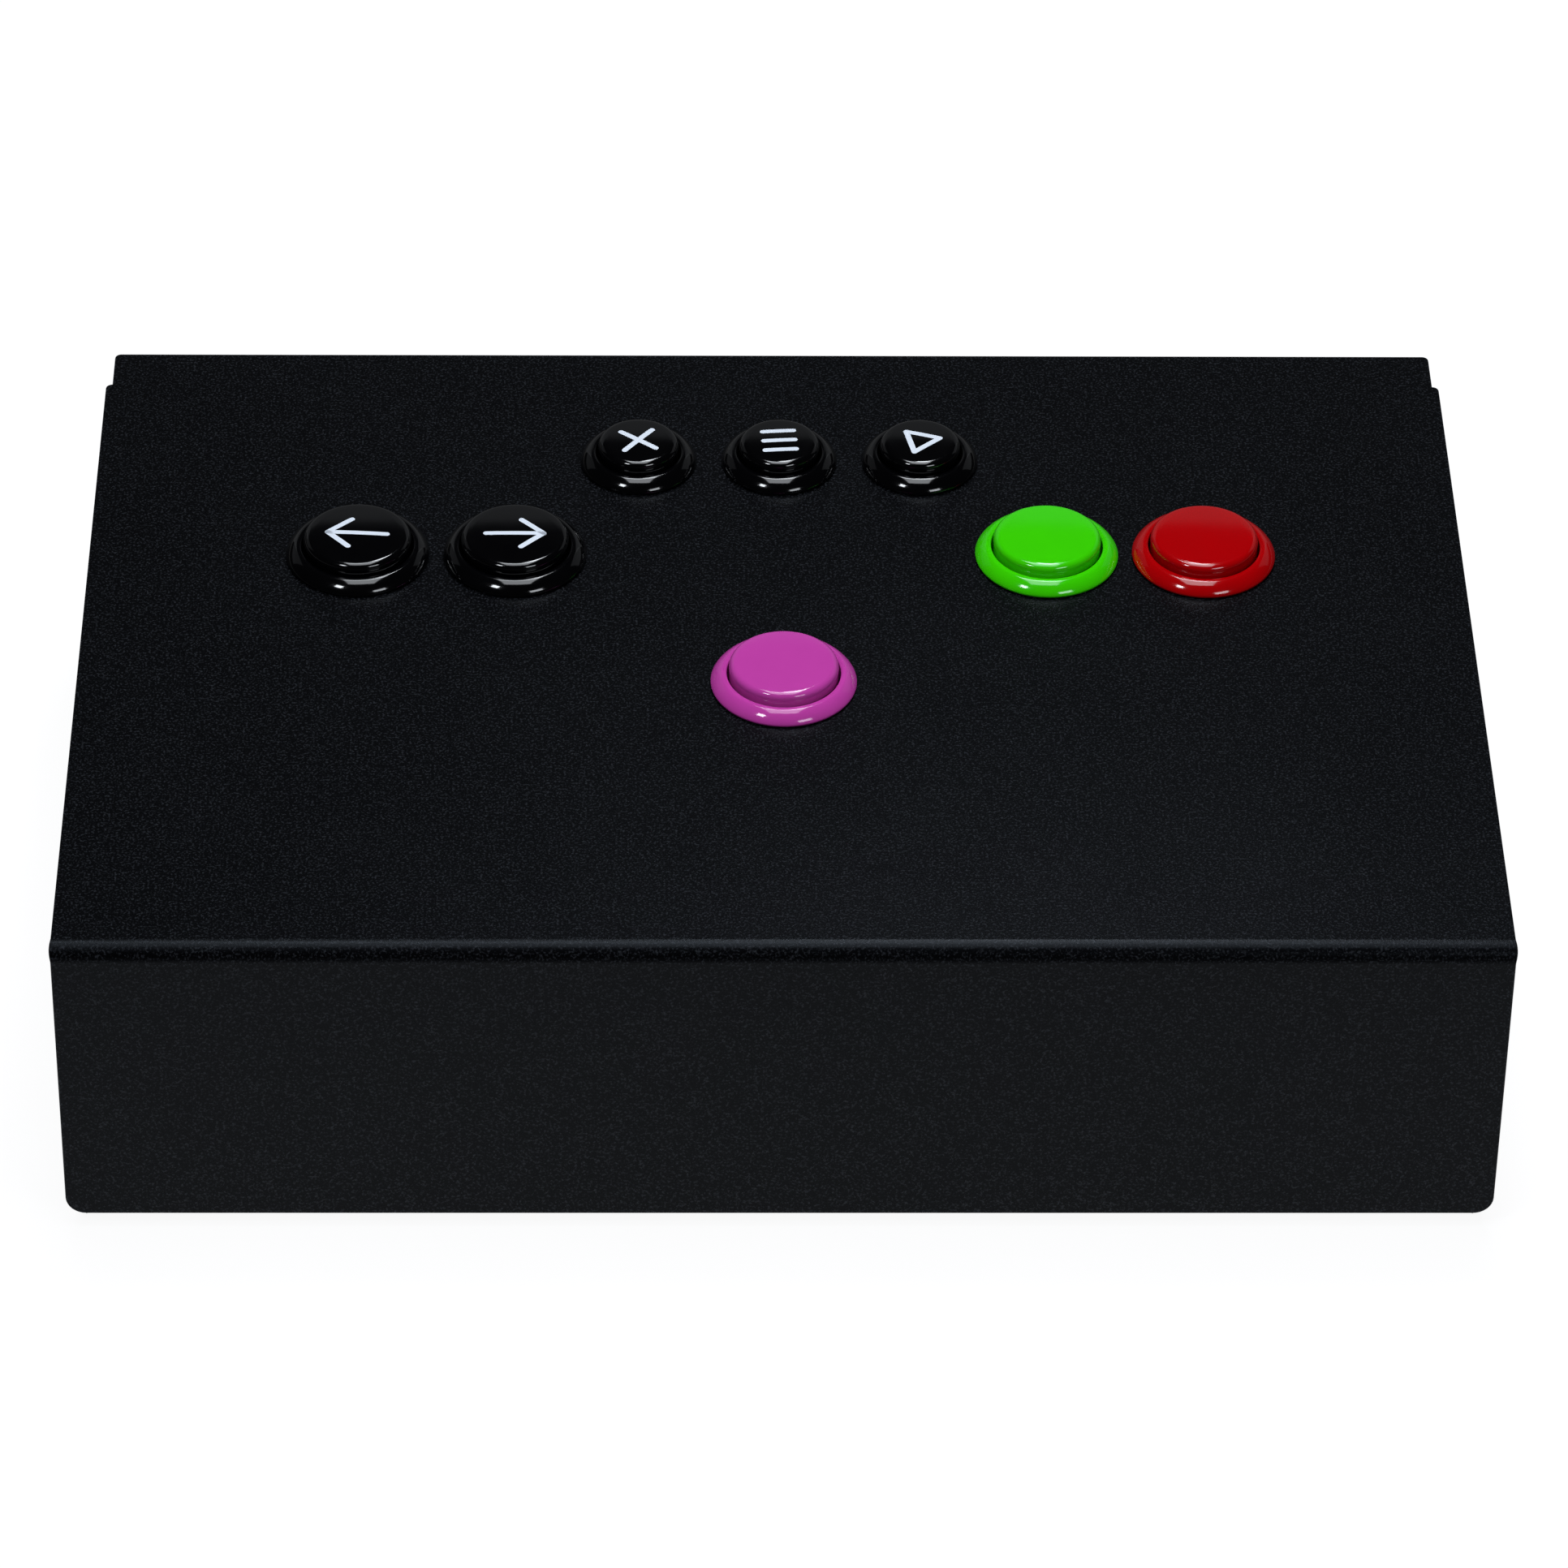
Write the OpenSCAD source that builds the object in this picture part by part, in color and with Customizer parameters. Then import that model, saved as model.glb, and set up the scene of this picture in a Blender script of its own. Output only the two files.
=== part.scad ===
// Arcade push-button panel: a folded sheet-steel box that carries eight snap-in push buttons.
// The origin is on the surface under the feet, below the middle of the box. +X is to the right,
// the front face looks towards -Y and +Z is up. All sizes are in millimetres.

/* [Cover] */
// Width of the cover from side to side
panel_w = 320; // [290:1:400]
// Depth of the cover from the front face to the rear edge
panel_d = 224; // [215:1:300]
// Height of the front flange, from its lower edge to the upper surface
front_h = 77; // [66:1:110]
// Thickness of the sheet steel
sheet_t = 1.5; // [1:0.1:2]
// Outer radius of the bend between the top and the front flange
bend_r = 4; // [3:0.5:8]
// Depth of the narrower tongue along the rear edge
tongue_d = 12.5; // [6:0.5:18]
// How far the tongue and the walls are set in from each side edge
side_step = 1.5; // [0.5:0.1:4]
// Radius at the two lower corners of the front flange
flange_corner_r = 4.5; // [1:0.5:8]
// Radius at the outer corners in front of the tongue
shoulder_r = 2; // [0.5:0.25:4]
// Radius at the rear corners of the tongue
tongue_corner_r = 1.5; // [0.5:0.25:3]

/* [Button layout] */
// How far the middle of the layout sits to the right of the cover's centre line
layout_x = 1; // [-3:0.1:3]
// Distance from the front face to the single front button
front_row_y = 94.9; // [60:0.1:98]
// Distance from the front face to the middle row
mid_row_y = 143.4; // [138:0.1:145]
// Distance from the front face to the back row
back_row_y = 180.3; // [178:0.1:184]
// Distance from the middle of the layout to the middle of each pair in the middle row
pair_x = 80.2; // [72:0.1:90]
// Distance between the two buttons of a pair
pair_pitch = 36.6; // [35:0.1:44]
// Distance between neighbours in the back row
back_pitch = 33.3; // [29:0.1:36]

/* [Push buttons] */
// Outer radius of the large bezel
large_bezel_r = 16.7; // [16.2:0.1:17.2]
// Outer radius of the small bezel
small_bezel_r = 13.7; // [13.2:0.1:14.2]
// Height of the bezel above the panel
bezel_h = 3.3; // [2.5:0.1:4.5]
// Radius of the rounded lower edge of a bezel
bezel_edge_r = 0.7; // [0.3:0.1:1]
// Straightness of a bezel's dome, from 1 for a quarter ellipse to 2 for a plain slope
bezel_slope = 1.5; // [1:0.1:2]
// Radius of the panel hole for a large button
large_hole_r = 15; // [14.8:0.05:15.4]
// Radius of the panel hole for a small button
small_hole_r = 12; // [11.8:0.05:12.4]
// Clearance between a barrel and its panel hole
barrel_fit = 0.15; // [0.05:0.05:0.4]
// Thickness of the wall of a barrel
barrel_wall = 1.85; // [1.4:0.05:2.2]
// Length of a barrel below the panel's upper surface
barrel_l = 20; // [18:0.5:24]
// Clearance between a plunger and the bore that it slides in
plunger_fit = 0.5; // [0.3:0.05:0.8]
// Height of a plunger's top above the panel at rest
plunger_top = 6.4; // [5:0.1:8]
// Radius of the rounded edge of a plunger's top
plunger_edge_r = 1.6; // [0.8:0.1:2]
// Thickness of the wall of a plunger's cap
plunger_wall = 1.6; // [1.2:0.1:2]
// Travel of a plunger, which is also the joint's range
travel = 3; // [2:0.1:3.5]
// Radius of the stem under a plunger
stem_r = 2; // [1.5:0.1:2.4]
// Clearance between a stem and its guide bore
stem_fit = 0.4; // [0.3:0.05:0.6]
// How far the barb on a stem reaches past the guide bore
barb_lip = 0.6; // [0.3:0.1:1]
// Radius of the wire of a return spring
spring_wire_r = 0.35; // [0.25:0.05:0.45]
// Mean radius of a return spring
spring_r = 4.2; // [3.6:0.1:4.6]
// Number of turns of a return spring
spring_turns = 4; // [3:0.5:5]

/* [Microswitches] */
// Length of a microswitch body
switch_l = 20; // [18:0.1:22]
// Thickness of a microswitch body
switch_w = 6.4; // [5.5:0.1:8]
// Height of a microswitch body
switch_h = 10; // [9:0.1:12]
// Length of the actuator, across the switch's length
actuator_l = 2.8; // [2:0.1:4]
// Width of the actuator, across the switch's thickness
actuator_w = 1.8; // [1.4:0.1:2.4]
// Distance of each terminal from the middle of the switch
terminal_x = 6; // [5:0.1:7]
// Length of a terminal blade below the switch
terminal_l = 7; // [6:0.1:9]

/* [Base] */
// Height of the rubber feet below the bottom plate
foot_h = 4; // [3:0.5:8]
// Radius of a rubber foot
foot_r = 9; // [7:0.5:12]
// Thickness of the bottom plate
plate_t = 1.5; // [1:0.1:2]
// Width of the inward ledges along the walls
ledge_w = 14; // [12:0.5:18]
// Distance of the studs and screws from the outside of the wall
fixing_edge = 8; // [7:0.25:9]
// Radius of the M4 studs and screws
m4_r = 2; // [1.9:0.05:2.1]
// Radial clearance of a clearance hole
hole_fit = 0.25; // [0.1:0.05:0.4]
// Radial clearance inside a nut
thread_fit = 0.05; // [0.02:0.01:0.1]

/* [Electronics] */
// Width of the encoder board
board_w = 90; // [80:1:110]
// Depth of the encoder board
board_d = 34; // [32:1:36]
// Thickness of the encoder board
board_t = 1.6; // [1:0.2:2]
// Distance from the front face to the middle of the encoder board
board_y = 191; // [188:0.5:193]
// Height of the standoffs under the board
standoff_h = 8; // [6:0.5:12]
// Distance between the poles of the terminal block
pole_pitch = 5; // [4.5:0.1:5.5]
// Distance of the rear socket from the centre line
socket_x = 80; // [70:1:100]
// Height of the middle of the rear socket above the bottom plate
socket_up = 18; // [15:0.5:30]
// Radius of a signal or ground wire
wire_r = 0.7; // [0.5:0.05:0.8]
// Radius of the internal data lead
lead_r = 2; // [1.5:0.1:2.4]

/* [Hidden] */
// Round parts are exact curves, so this only sets how they are drawn on screen.
$fn = 64;
// The smallest overlap or overshoot that keeps a cut clean.
eps = 0.01;

// Levels, measured from the surface under the feet.
plate_top = foot_h + plate_t;
top_z = foot_h + front_h;
under_z = top_z - sheet_t;
front_y = -panel_d / 2;
rear_y = panel_d / 2;
wall_x = panel_w / 2 - side_step;
wall_front_y = front_y + sheet_t;
wall_h = under_z - plate_top;
wall_bend_r = 2 * sheet_t;

// Buttons: name, place, size class and cap colour.
BUTTONS = [
    ["exit", -back_pitch, back_row_y, false, "#101112"],
    ["menu", 0, back_row_y, false, "#101112"],
    ["play", back_pitch, back_row_y, false, "#101112"],
    ["left", -pair_x - pair_pitch / 2, mid_row_y, true, "#101112"],
    ["right", -pair_x + pair_pitch / 2, mid_row_y, true, "#101112"],
    ["green", pair_x - pair_pitch / 2, mid_row_y, true, "#46d70a"],
    ["red", pair_x + pair_pitch / 2, mid_row_y, true, "#a5000f"],
    ["magenta", 0, front_row_y, true, "#be3ca5"],
];
function is_large(b) = BUTTONS[b][3];
function button_x(b) = layout_x + BUTTONS[b][1];
function button_y(b) = front_y + BUTTONS[b][2];
function hole_r(b) = is_large(b) ? large_hole_r : small_hole_r;
function bezel_r(b) = is_large(b) ? large_bezel_r : small_bezel_r;
function barrel_r(b) = hole_r(b) - barrel_fit;
function bore_r(b) = barrel_r(b) - barrel_wall;
function cap_r(b) = bore_r(b) - plunger_fit;

// Levels of a button, measured from the panel's upper surface.
floor_t = 1.5;
skirt_gap = 0.5;
floor_top = -(barrel_l - 5.5);
floor_low = floor_top - floor_t;
cap_t = 2;
seat_z = floor_top + travel + 2 * spring_turns * spring_wire_r + 4.7;
guide_r = stem_r + stem_fit;
barb_r = guide_r + barb_lip;
barb_gap = 0.3;
barb_h = 1.5;
barb_low = floor_low - barb_gap - barb_h;
switch_top = barb_low - travel - 0.7;
switch_low = switch_top - switch_h;
clip_t = 1.5;
clip_w = 8;
clip_lip = 0.6;
actuator_gap = 0.3;
actuator_in = 1.5;
actuator_low = switch_top - actuator_in;
well_low = actuator_low - travel - 0.5;
terminal_t = 0.8;
terminal_w = 4.8;
terminal_low = switch_low - terminal_l;
sleeve_wall = 1.4;
sleeve_l = 11;
sleeve_top = switch_low - 1.5;
sleeve_low = sleeve_top - sleeve_l;

// Fixings.
cover_stud_y = [-panel_d / 2 + 32, 0, panel_d / 2 - 32];
stud_x = wall_x - fixing_edge;
stud_l = 8;
front_stud_x = panel_w / 2 - 40;
front_stud_z = foot_h + front_h / 2;
nut_flats = 7;
nut_h = 3.2;
clinch_r = 4;
clinch_h = 4;
screw_head_r = 4;
screw_head_h = 2.4;
screw_l = 8;
foot_x = wall_x - 26;
foot_y = panel_d / 2 - 28;

// Electronics.
board_mid_y = front_y + board_y;
board_low = plate_top + standoff_h;
board_top = board_low + board_t;
board_front = board_mid_y - board_d / 2;
board_screw_x = board_w / 2 - 5;
board_screw_y = board_d / 2 - 5;
m3_r = 1.5;
poles = 9;
block_d = 8;
block_h = 9;
block_w = poles * pole_pitch + 2;
entry_z = board_top + 4;
entry_l = 5;
entry_fit = 0.2;
jack_w = 8;
jack_h = 4;
jack_l = 9;
jack_z = board_top + jack_h / 2;
plug_w = 9;
plug_h = 7;
plug_l = 12;
socket_z = plate_top + socket_up;
socket_w = 12;
socket_h = 11;
socket_l = 16;
socket_fit = 0.2;
socket_flange_w = 27;
socket_flange_t = 2;
socket_screw_x = 10;
socket_screw_r = 1.25;
socket_head_r = 2.3;
socket_head_h = 1.1;
socket_in_y = rear_y - sheet_t - socket_l;

// Wiring: each wire drops from its connector to its own level, runs along X, then along Y to
// the terminal block. One value of drop for each button keeps the runs apart where they cross.
wire_drop = [8, 5.5, 8, 15.5, 13, 13, 15.5, 10.5];
pole_of = [2, 4, 5, 0, 1, 6, 7, 3];
ground_pole = 8;
ground_order = [7, 3, 4, 0, 1, 2, 5, 6];
ground_drop = 3.5;
ground_under = 2.4;
ground_aside = 6;
wire_pair = 0.9;
wire_bend = 3;
entry_lead = 8;
lead_bend = 7;

function label(b, part) = str(BUTTONS[b][0], "_", part);
each_button = [for (b = [0:len(BUTTONS) - 1]) b];

// ---- Shared shapes ----

function unit(v) = v / norm(v);

// Points of an arc about c from angle a0 to angle a1, both ends included.
function arc(c, r, a0, a1, n = 6) =
    [for (i = [0:n]) c + r * [cos(a0 + (a1 - a0) * i / n), sin(a0 + (a1 - a0) * i / n)]];

// A route with each inner corner eased by a short curve that starts reach before it.
function eased(p, reach) = concat(
    [p[0]],
    [for (i = [1:len(p) - 2])
        let (before = p[i - 1] - p[i], after = p[i + 1] - p[i])
        let (a = min(reach, norm(before) * 0.45), c = min(reach, norm(after) * 0.45))
        for (t = [0, 0.33, 0.67, 1])
            p[i] + unit(before) * a * pow(1 - t, 2) + unit(after) * c * t * t],
    [p[len(p) - 1]]
);

// Direction of travel at each point of a route.
function headings(p) =
    [for (i = [0:len(p) - 1]) unit(p[min(i + 1, len(p) - 1)] - p[max(i - 1, 0)])];

// A direction across the route at each point, carried along without twisting.
function sides(t, start) =
    [for (i = 0, s = unit(start - (start * t[0]) * t[0]);
        i < len(t);
        i = i + 1, s = i < len(t) ? unit(s - (s * t[i]) * t[i]) : s) s];

// A round tube along a route, closed at both ends.
module tube(route, r, n = 8, start = [0.31, 0.95, 0.07]) {
    t = headings(route);
    s = sides(t, start);
    rings = len(route);
    points = [for (i = [0:rings - 1], k = [0:n - 1])
        route[i] + r * (cos(360 * k / n) * s[i] + sin(360 * k / n) * cross(t[i], s[i]))];
    walls = [for (i = [0:rings - 2], k = [0:n - 1])
        let (a = i * n + k, b = i * n + (k + 1) % n)
        each [[a, a + n, b], [b, a + n, b + n]]];
    low_end = [for (k = [0:n - 1]) k];
    high_end = [for (k = [n - 1:-1:0]) (rings - 1) * n + k];
    polyhedron(points, concat(walls, [low_end, high_end]));
}

// What is left to cut from a square corner at the origin, whose material lies towards
// +X and +Y, to round it to radius r through the height h.
module corner_cut(r, h) {
    difference() {
        translate([-eps, -eps, 0]) cube([r + eps, r + eps, h]);
        translate([r, r, -eps]) cylinder(r = r, h = h + 2 * eps);
    }
}

module hex(flats, h) {
    rotate([0, 0, 30]) cylinder(r = flats / sqrt(3), h = h, $fn = 6);
}

// Section of a wall with an inward ledge at the top and at the bottom. x is inwards, y is up.
module wall_section(h, t, r) {
    polygon(concat(
        [[ledge_w, 0]],
        arc([r, r], r, 270, 180),
        arc([r, h - r], r, 180, 90),
        [[ledge_w, h], [ledge_w, h - t]],
        arc([r, h - r], r - t, 90, 180),
        arc([r, r], r - t, 180, 270),
        [[ledge_w, t]]
    ));
}

// Places its children at each of the cover studs and bottom screws, three along each side.
module at_side_fixings(z) {
    for (side = [-1, 1], y = cover_stud_y) translate([side * stud_x, y, z]) children();
}

// Places its children on the front flange's two studs, pointing inwards.
module at_front_fixings(y) {
    for (side = [-1, 1]) translate([side * front_stud_x, y, front_stud_z]) rotate([-90, 0, 0]) children();
}

module at_board_fixings(z) {
    for (sx = [-1, 1], sy = [-1, 1])
        translate([sx * board_screw_x, board_mid_y + sy * board_screw_y, z]) children();
}

module at_socket_screws() {
    for (side = [-1, 1]) translate([socket_x + side * socket_screw_x, 0, socket_z]) rotate([90, 0, 0]) children();
}

module at_button(b) {
    translate([button_x(b), button_y(b), top_z]) children();
}

// ---- Enclosure ----

// One folded sheet: the top, with its eight holes, and the front flange.
module cover() color("#17191b") {
    inner_r = bend_r - sheet_t;
    profile = concat(
        [[front_y, foot_h]],
        arc([front_y + bend_r, top_z - bend_r], bend_r, 180, 90, 8),
        [[rear_y, top_z], [rear_y, under_z]],
        arc([front_y + bend_r, top_z - bend_r], inner_r, 90, 180, 8),
        [[front_y + sheet_t, foot_h]]
    );
    difference() {
        translate([-panel_w / 2, 0, 0]) rotate([90, 0, 90]) linear_extrude(panel_w) polygon(profile);
        for (b = each_button)
            at_button(b) translate([0, 0, -sheet_t - 1]) cylinder(r = hole_r(b), h = sheet_t + 2);
        for (side = [0, 1]) mirror([side, 0, 0]) {
            translate([wall_x, rear_y - tongue_d, under_z - 1])
                cube([side_step + 1, tongue_d + 1, sheet_t + 2]);
            translate([wall_x, rear_y, under_z - 1])
                rotate([0, 0, 180]) corner_cut(tongue_corner_r, sheet_t + 2);
            translate([panel_w / 2, rear_y - tongue_d, under_z - 1])
                rotate([0, 0, 180]) corner_cut(min(shoulder_r, side_step), sheet_t + 2);
            translate([panel_w / 2, wall_front_y + 1, foot_h])
                rotate([90, 0, 0]) mirror([1, 0, 0]) corner_cut(flange_corner_r, sheet_t + 2);
        }
    }
}

// Studs welded to the inside of the cover: six down from the top and two in from the front.
module cover_studs() color("silver") {
    at_side_fixings(under_z - stud_l) cylinder(r = m4_r, h = stud_l);
    at_front_fixings(wall_front_y) cylinder(r = m4_r, h = stud_l);
}

module stud_nuts() color("silver") {
    at_side_fixings(under_z - sheet_t - nut_h) nut();
    at_front_fixings(wall_front_y + sheet_t) nut();
}

module nut() {
    difference() {
        hex(nut_flats, nut_h);
        translate([0, 0, -1]) cylinder(r = m4_r + thread_fit, h = nut_h + 2);
    }
}

// Four folded walls welded at the corners, open above and below, with a ledge all round.
module wall_frame() color("#17191b") {
    side_l = panel_d - sheet_t - 2 * wall_bend_r;
    difference() {
        translate([0, 0, plate_top]) {
            for (side = [0, 1]) mirror([side, 0, 0])
                translate([-wall_x, rear_y - wall_bend_r, 0])
                    rotate([90, 0, 0]) linear_extrude(side_l) wall_section(wall_h, sheet_t, wall_bend_r);
            translate([-wall_x, wall_front_y, 0])
                rotate([90, 0, 90]) linear_extrude(2 * wall_x) wall_section(wall_h, sheet_t, wall_bend_r);
            translate([-wall_x, rear_y, 0]) mirror([0, 1, 0])
                rotate([90, 0, 90]) linear_extrude(2 * wall_x) wall_section(wall_h, sheet_t, wall_bend_r);
        }
        at_side_fixings(under_z - sheet_t - 1) cylinder(r = m4_r + hole_fit, h = sheet_t + 2);
        at_side_fixings(plate_top - 1) cylinder(r = clinch_r - 1, h = sheet_t + 2);
        at_front_fixings(wall_front_y - 1) cylinder(r = m4_r + hole_fit, h = sheet_t + 2);
        translate([socket_x - socket_w / 2 - socket_fit, rear_y - sheet_t - 1, socket_z - socket_h / 2 - socket_fit])
            cube([socket_w + 2 * socket_fit, sheet_t + 2, socket_h + 2 * socket_fit]);
        translate([0, rear_y, 0]) at_socket_screws() {
            cylinder(r = socket_screw_r + hole_fit, h = sheet_t + 1);
            translate([0, 0, -eps]) countersink(hole_fit);
        }
    }
}

// The cone under the head of a socket screw, with its wide end on the origin.
module countersink(grow) {
    cylinder(r1 = socket_head_r + grow, r2 = socket_screw_r + grow, h = socket_head_h);
}

// Nuts pressed into the lower ledge for the bottom screws.
module clinch_nuts() color("silver") {
    at_side_fixings(plate_top) difference() {
        union() {
            cylinder(r = clinch_r - 1, h = sheet_t);
            translate([0, 0, sheet_t]) cylinder(r = clinch_r, h = clinch_h);
        }
        translate([0, 0, -1]) cylinder(r = m4_r + thread_fit, h = sheet_t + clinch_h + 2);
    }
}

module bottom_plate() color("#17191b") {
    edge_gap = 0.5;
    difference() {
        translate([-wall_x + edge_gap, wall_front_y + edge_gap, foot_h])
            cube([2 * (wall_x - edge_gap), panel_d - sheet_t - 2 * edge_gap, plate_t]);
        at_side_fixings(foot_h - 1) cylinder(r = m4_r + hole_fit, h = plate_t + 2);
    }
}

module bottom_screws() color("silver") {
    at_side_fixings(foot_h) {
        cylinder(r = m4_r, h = screw_l);
        pan_head(screw_head_r, screw_head_h, 1.4);
    }
}

// A pan head below the origin with a hexagonal socket.
module pan_head(r, h, socket_r) {
    crown = 0.8;
    difference() {
        rotate_extrude() polygon([[0, 0], [r, 0], [r, crown - h], [r - crown, -h], [0, -h]]);
        translate([0, 0, -h - 1]) cylinder(r = socket_r, h = h / 2 + 1, $fn = 6);
    }
}

module rubber_feet() color("#1c1c1c") {
    ease = 1.2;
    for (sx = [-1, 1], sy = [-1, 1]) translate([sx * foot_x, sy * foot_y, 0])
        rotate_extrude() polygon(concat(
            [[0, 0]],
            arc([foot_r - ease - 0.5, ease], ease, 270, 340),
            [[foot_r, foot_h], [0, foot_h]]
        ));
}

// ---- Push buttons ----

// Bezel, barrel, guide floor, panel lugs and the two clips that hold the switch.
module housing(b) {
    rim = bezel_r(b);
    bore = bore_r(b);
    outer = barrel_r(b);
    land = 1.1;
    lug_w = 6;
    lug_out = 1.1;
    lug_top = -sheet_t - 0.1;
    lug_low = -9;
    // The dome runs from the rim's rounded edge up to the land round the bore.
    dome_w = rim - bore - land;
    dome_h = bezel_h - bezel_edge_r;
    dome = [for (i = [0:8])
        let (a = 90 * i / 8)
        [bore + land + dome_w * pow(cos(a), bezel_slope), bezel_edge_r + dome_h * pow(sin(a), bezel_slope)]];
    difference() {
        union() {
            rotate_extrude() polygon(concat(
                [[bore, 0]],
                arc([rim - bezel_edge_r, bezel_edge_r], bezel_edge_r, 270, 342, 4),
                dome,
                [[bore + 0.4, bezel_h], [bore, bezel_h - 0.4]]
            ));
            difference() {
                translate([0, 0, -barrel_l]) cylinder(r = outer, h = barrel_l);
                translate([0, 0, -barrel_l - 1]) cylinder(r = bore, h = barrel_l + 2);
            }
            translate([0, 0, floor_low]) cylinder(r = bore + eps, h = floor_t);
            for (side = [0, 180]) rotate([0, 0, side]) {
                translate([lug_w / 2, 0, 0]) rotate([90, 0, -90]) linear_extrude(lug_w)
                    polygon([
                        [-outer + 0.5, lug_top],
                        [-outer - lug_out, lug_top],
                        [-outer - lug_out, lug_top - 1],
                        [-outer + 0.5, lug_low]
                    ]);
                translate([switch_l / 2, -clip_w / 2, switch_low - clip_t])
                    cube([clip_t, clip_w, floor_low - switch_low + clip_t + eps]);
                translate([switch_l / 2 - clip_lip, -clip_w / 2, switch_low - clip_t])
                    cube([clip_lip + eps, clip_w, clip_t]);
            }
        }
        translate([0, 0, floor_low - 1]) cylinder(r = guide_r, h = floor_t + 2);
    }
}

// The cap that the finger presses, with its skirt, spring boss, stem and barb.
module plunger(b) {
    r = cap_r(b);
    skirt_low = floor_top + travel + skirt_gap;
    boss_r = spring_r + spring_wire_r + 0.7;
    rotate_extrude() polygon(concat(
        [[0, plunger_top], [r - plunger_edge_r, plunger_top]],
        arc([r - plunger_edge_r, plunger_top - plunger_edge_r], plunger_edge_r, 75, 0, 5),
        [[r, skirt_low], [r - plunger_wall, skirt_low]],
        [[r - plunger_wall, plunger_top - cap_t - 0.6], [r - plunger_wall - 0.6, plunger_top - cap_t]],
        [[boss_r, plunger_top - cap_t], [boss_r, seat_z], [stem_r, seat_z]],
        [[stem_r, barb_low + barb_h], [barb_r, barb_low + barb_h]],
        [[stem_r, barb_low], [0, barb_low]]
    ));
}

// A helical return spring between the guide floor and the plunger's boss.
module spring() {
    rise = seat_z - floor_top - 2 * spring_wire_r;
    steps = spring_turns * 12;
    route = [for (i = [0:steps])
        let (a = 30 * i)
        [spring_r * cos(a), spring_r * sin(a), floor_top + spring_wire_r + rise * i / steps]];
    tube(route, spring_wire_r, n = 6, start = [0, 0, 1]);
}

module microswitch() {
    well_l = actuator_l + 2 * actuator_gap;
    well_w = actuator_w + 2 * actuator_gap;
    seam = 0.3;
    difference() {
        translate([-switch_l / 2, -switch_w / 2, switch_low]) cube([switch_l, switch_w, switch_h]);
        translate([-well_l / 2, -well_w / 2, well_low]) cube([well_l, well_w, switch_top - well_low + 1]);
        translate([-switch_l / 2 - 1, -seam / 2, switch_top - seam])
            cube([switch_l / 2 + 1 - well_l, seam, seam + 1]);
        for (side = [-1, 1]) translate([side * (switch_l / 2 - 3.5), -switch_w / 2 - 1, switch_low + 3])
            rotate([-90, 0, 0]) cylinder(r = 1, h = switch_w + 2);
    }
}

// The small block that the stem presses into the switch.
module actuator() {
    translate([-actuator_l / 2, -actuator_w / 2, actuator_low])
        cube([actuator_l, actuator_w, barb_low - actuator_low]);
}

// Two blades under each switch: the signal at +X and the ground at -X.
module switch_terminals() color("#c9a23f") {
    for (b = each_button) at_button(b) blades(0);
}

module blades(grow) {
    for (side = [-1, 1]) translate([side * terminal_x, 0, 0])
        translate([-terminal_t / 2 - grow, -terminal_w / 2 - grow, terminal_low - grow])
            cube([terminal_t + 2 * grow, terminal_w + 2 * grow, terminal_l + grow]);
}

// Insulated push-on connectors, one on each blade.
module spade_connectors() color("#b5262a") {
    w = terminal_t + 2 * sleeve_wall;
    d = terminal_w + 2 * sleeve_wall;
    for (b = each_button) at_button(b) difference() {
        for (side = [-1, 1]) translate([side * terminal_x - w / 2, -d / 2, sleeve_low]) cube([w, d, sleeve_l]);
        blades(thread_fit);
    }
}

// ---- Electronics ----

module encoder_board() color("#0d5c34") {
    difference() {
        union() {
            translate([-board_w / 2, board_front, board_low]) cube([board_w, board_d, board_t]);
            translate([board_w / 2 - jack_l, board_mid_y - jack_w / 2, board_top - eps])
                cube([jack_l, jack_w, jack_h + eps]);
        }
        at_board_fixings(board_low - 1) cylinder(r = m3_r + hole_fit, h = board_t + 2);
    }
}

module encoder_chip() color("#1a1a1c") {
    body = 12;
    thick = 1.6;
    pins = 8;
    translate([0, board_mid_y + 4, board_top]) {
        translate([-body / 2, -body / 2, 0.3]) cube([body, body, thick]);
        for (quarter = [0:90:270], i = [0:pins - 1]) rotate([0, 0, quarter])
            translate([(i - (pins - 1) / 2) * 1.3 - 0.25, body / 2 - eps, 0]) cube([0.5, 1.5, 0.7]);
    }
}

// A screw-clamp block with one wire entry for each signal and one for the shared ground.
module terminal_block() color("#1f7a3d") {
    translate([0, board_front, 0]) difference() {
        translate([-block_w / 2, 0, board_top]) cube([block_w, block_d, block_h]);
        for (p = [0:poles - 1]) translate([pole_x(p), 0, 0]) {
            translate([0, -1, entry_z]) rotate([-90, 0, 0]) cylinder(r = wire_r + entry_fit, h = entry_l + 1);
            translate([0, block_d / 2, board_top + block_h - 1.5]) cylinder(r = 1.7, h = 2.5);
        }
    }
}

function pole_x(p) = (p - (poles - 1) / 2) * pole_pitch;

module board_standoffs() color("silver") {
    at_board_fixings(plate_top) difference() {
        hex(5.5, standoff_h);
        translate([0, 0, standoff_h - 6]) cylinder(r = m3_r + thread_fit, h = 7);
    }
}

module board_screws() color("silver") {
    at_board_fixings(board_top) rotate([180, 0, 0]) {
        cylinder(r = m3_r, h = board_t + 4);
        pan_head(2.8, 2, 1);
    }
}

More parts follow.
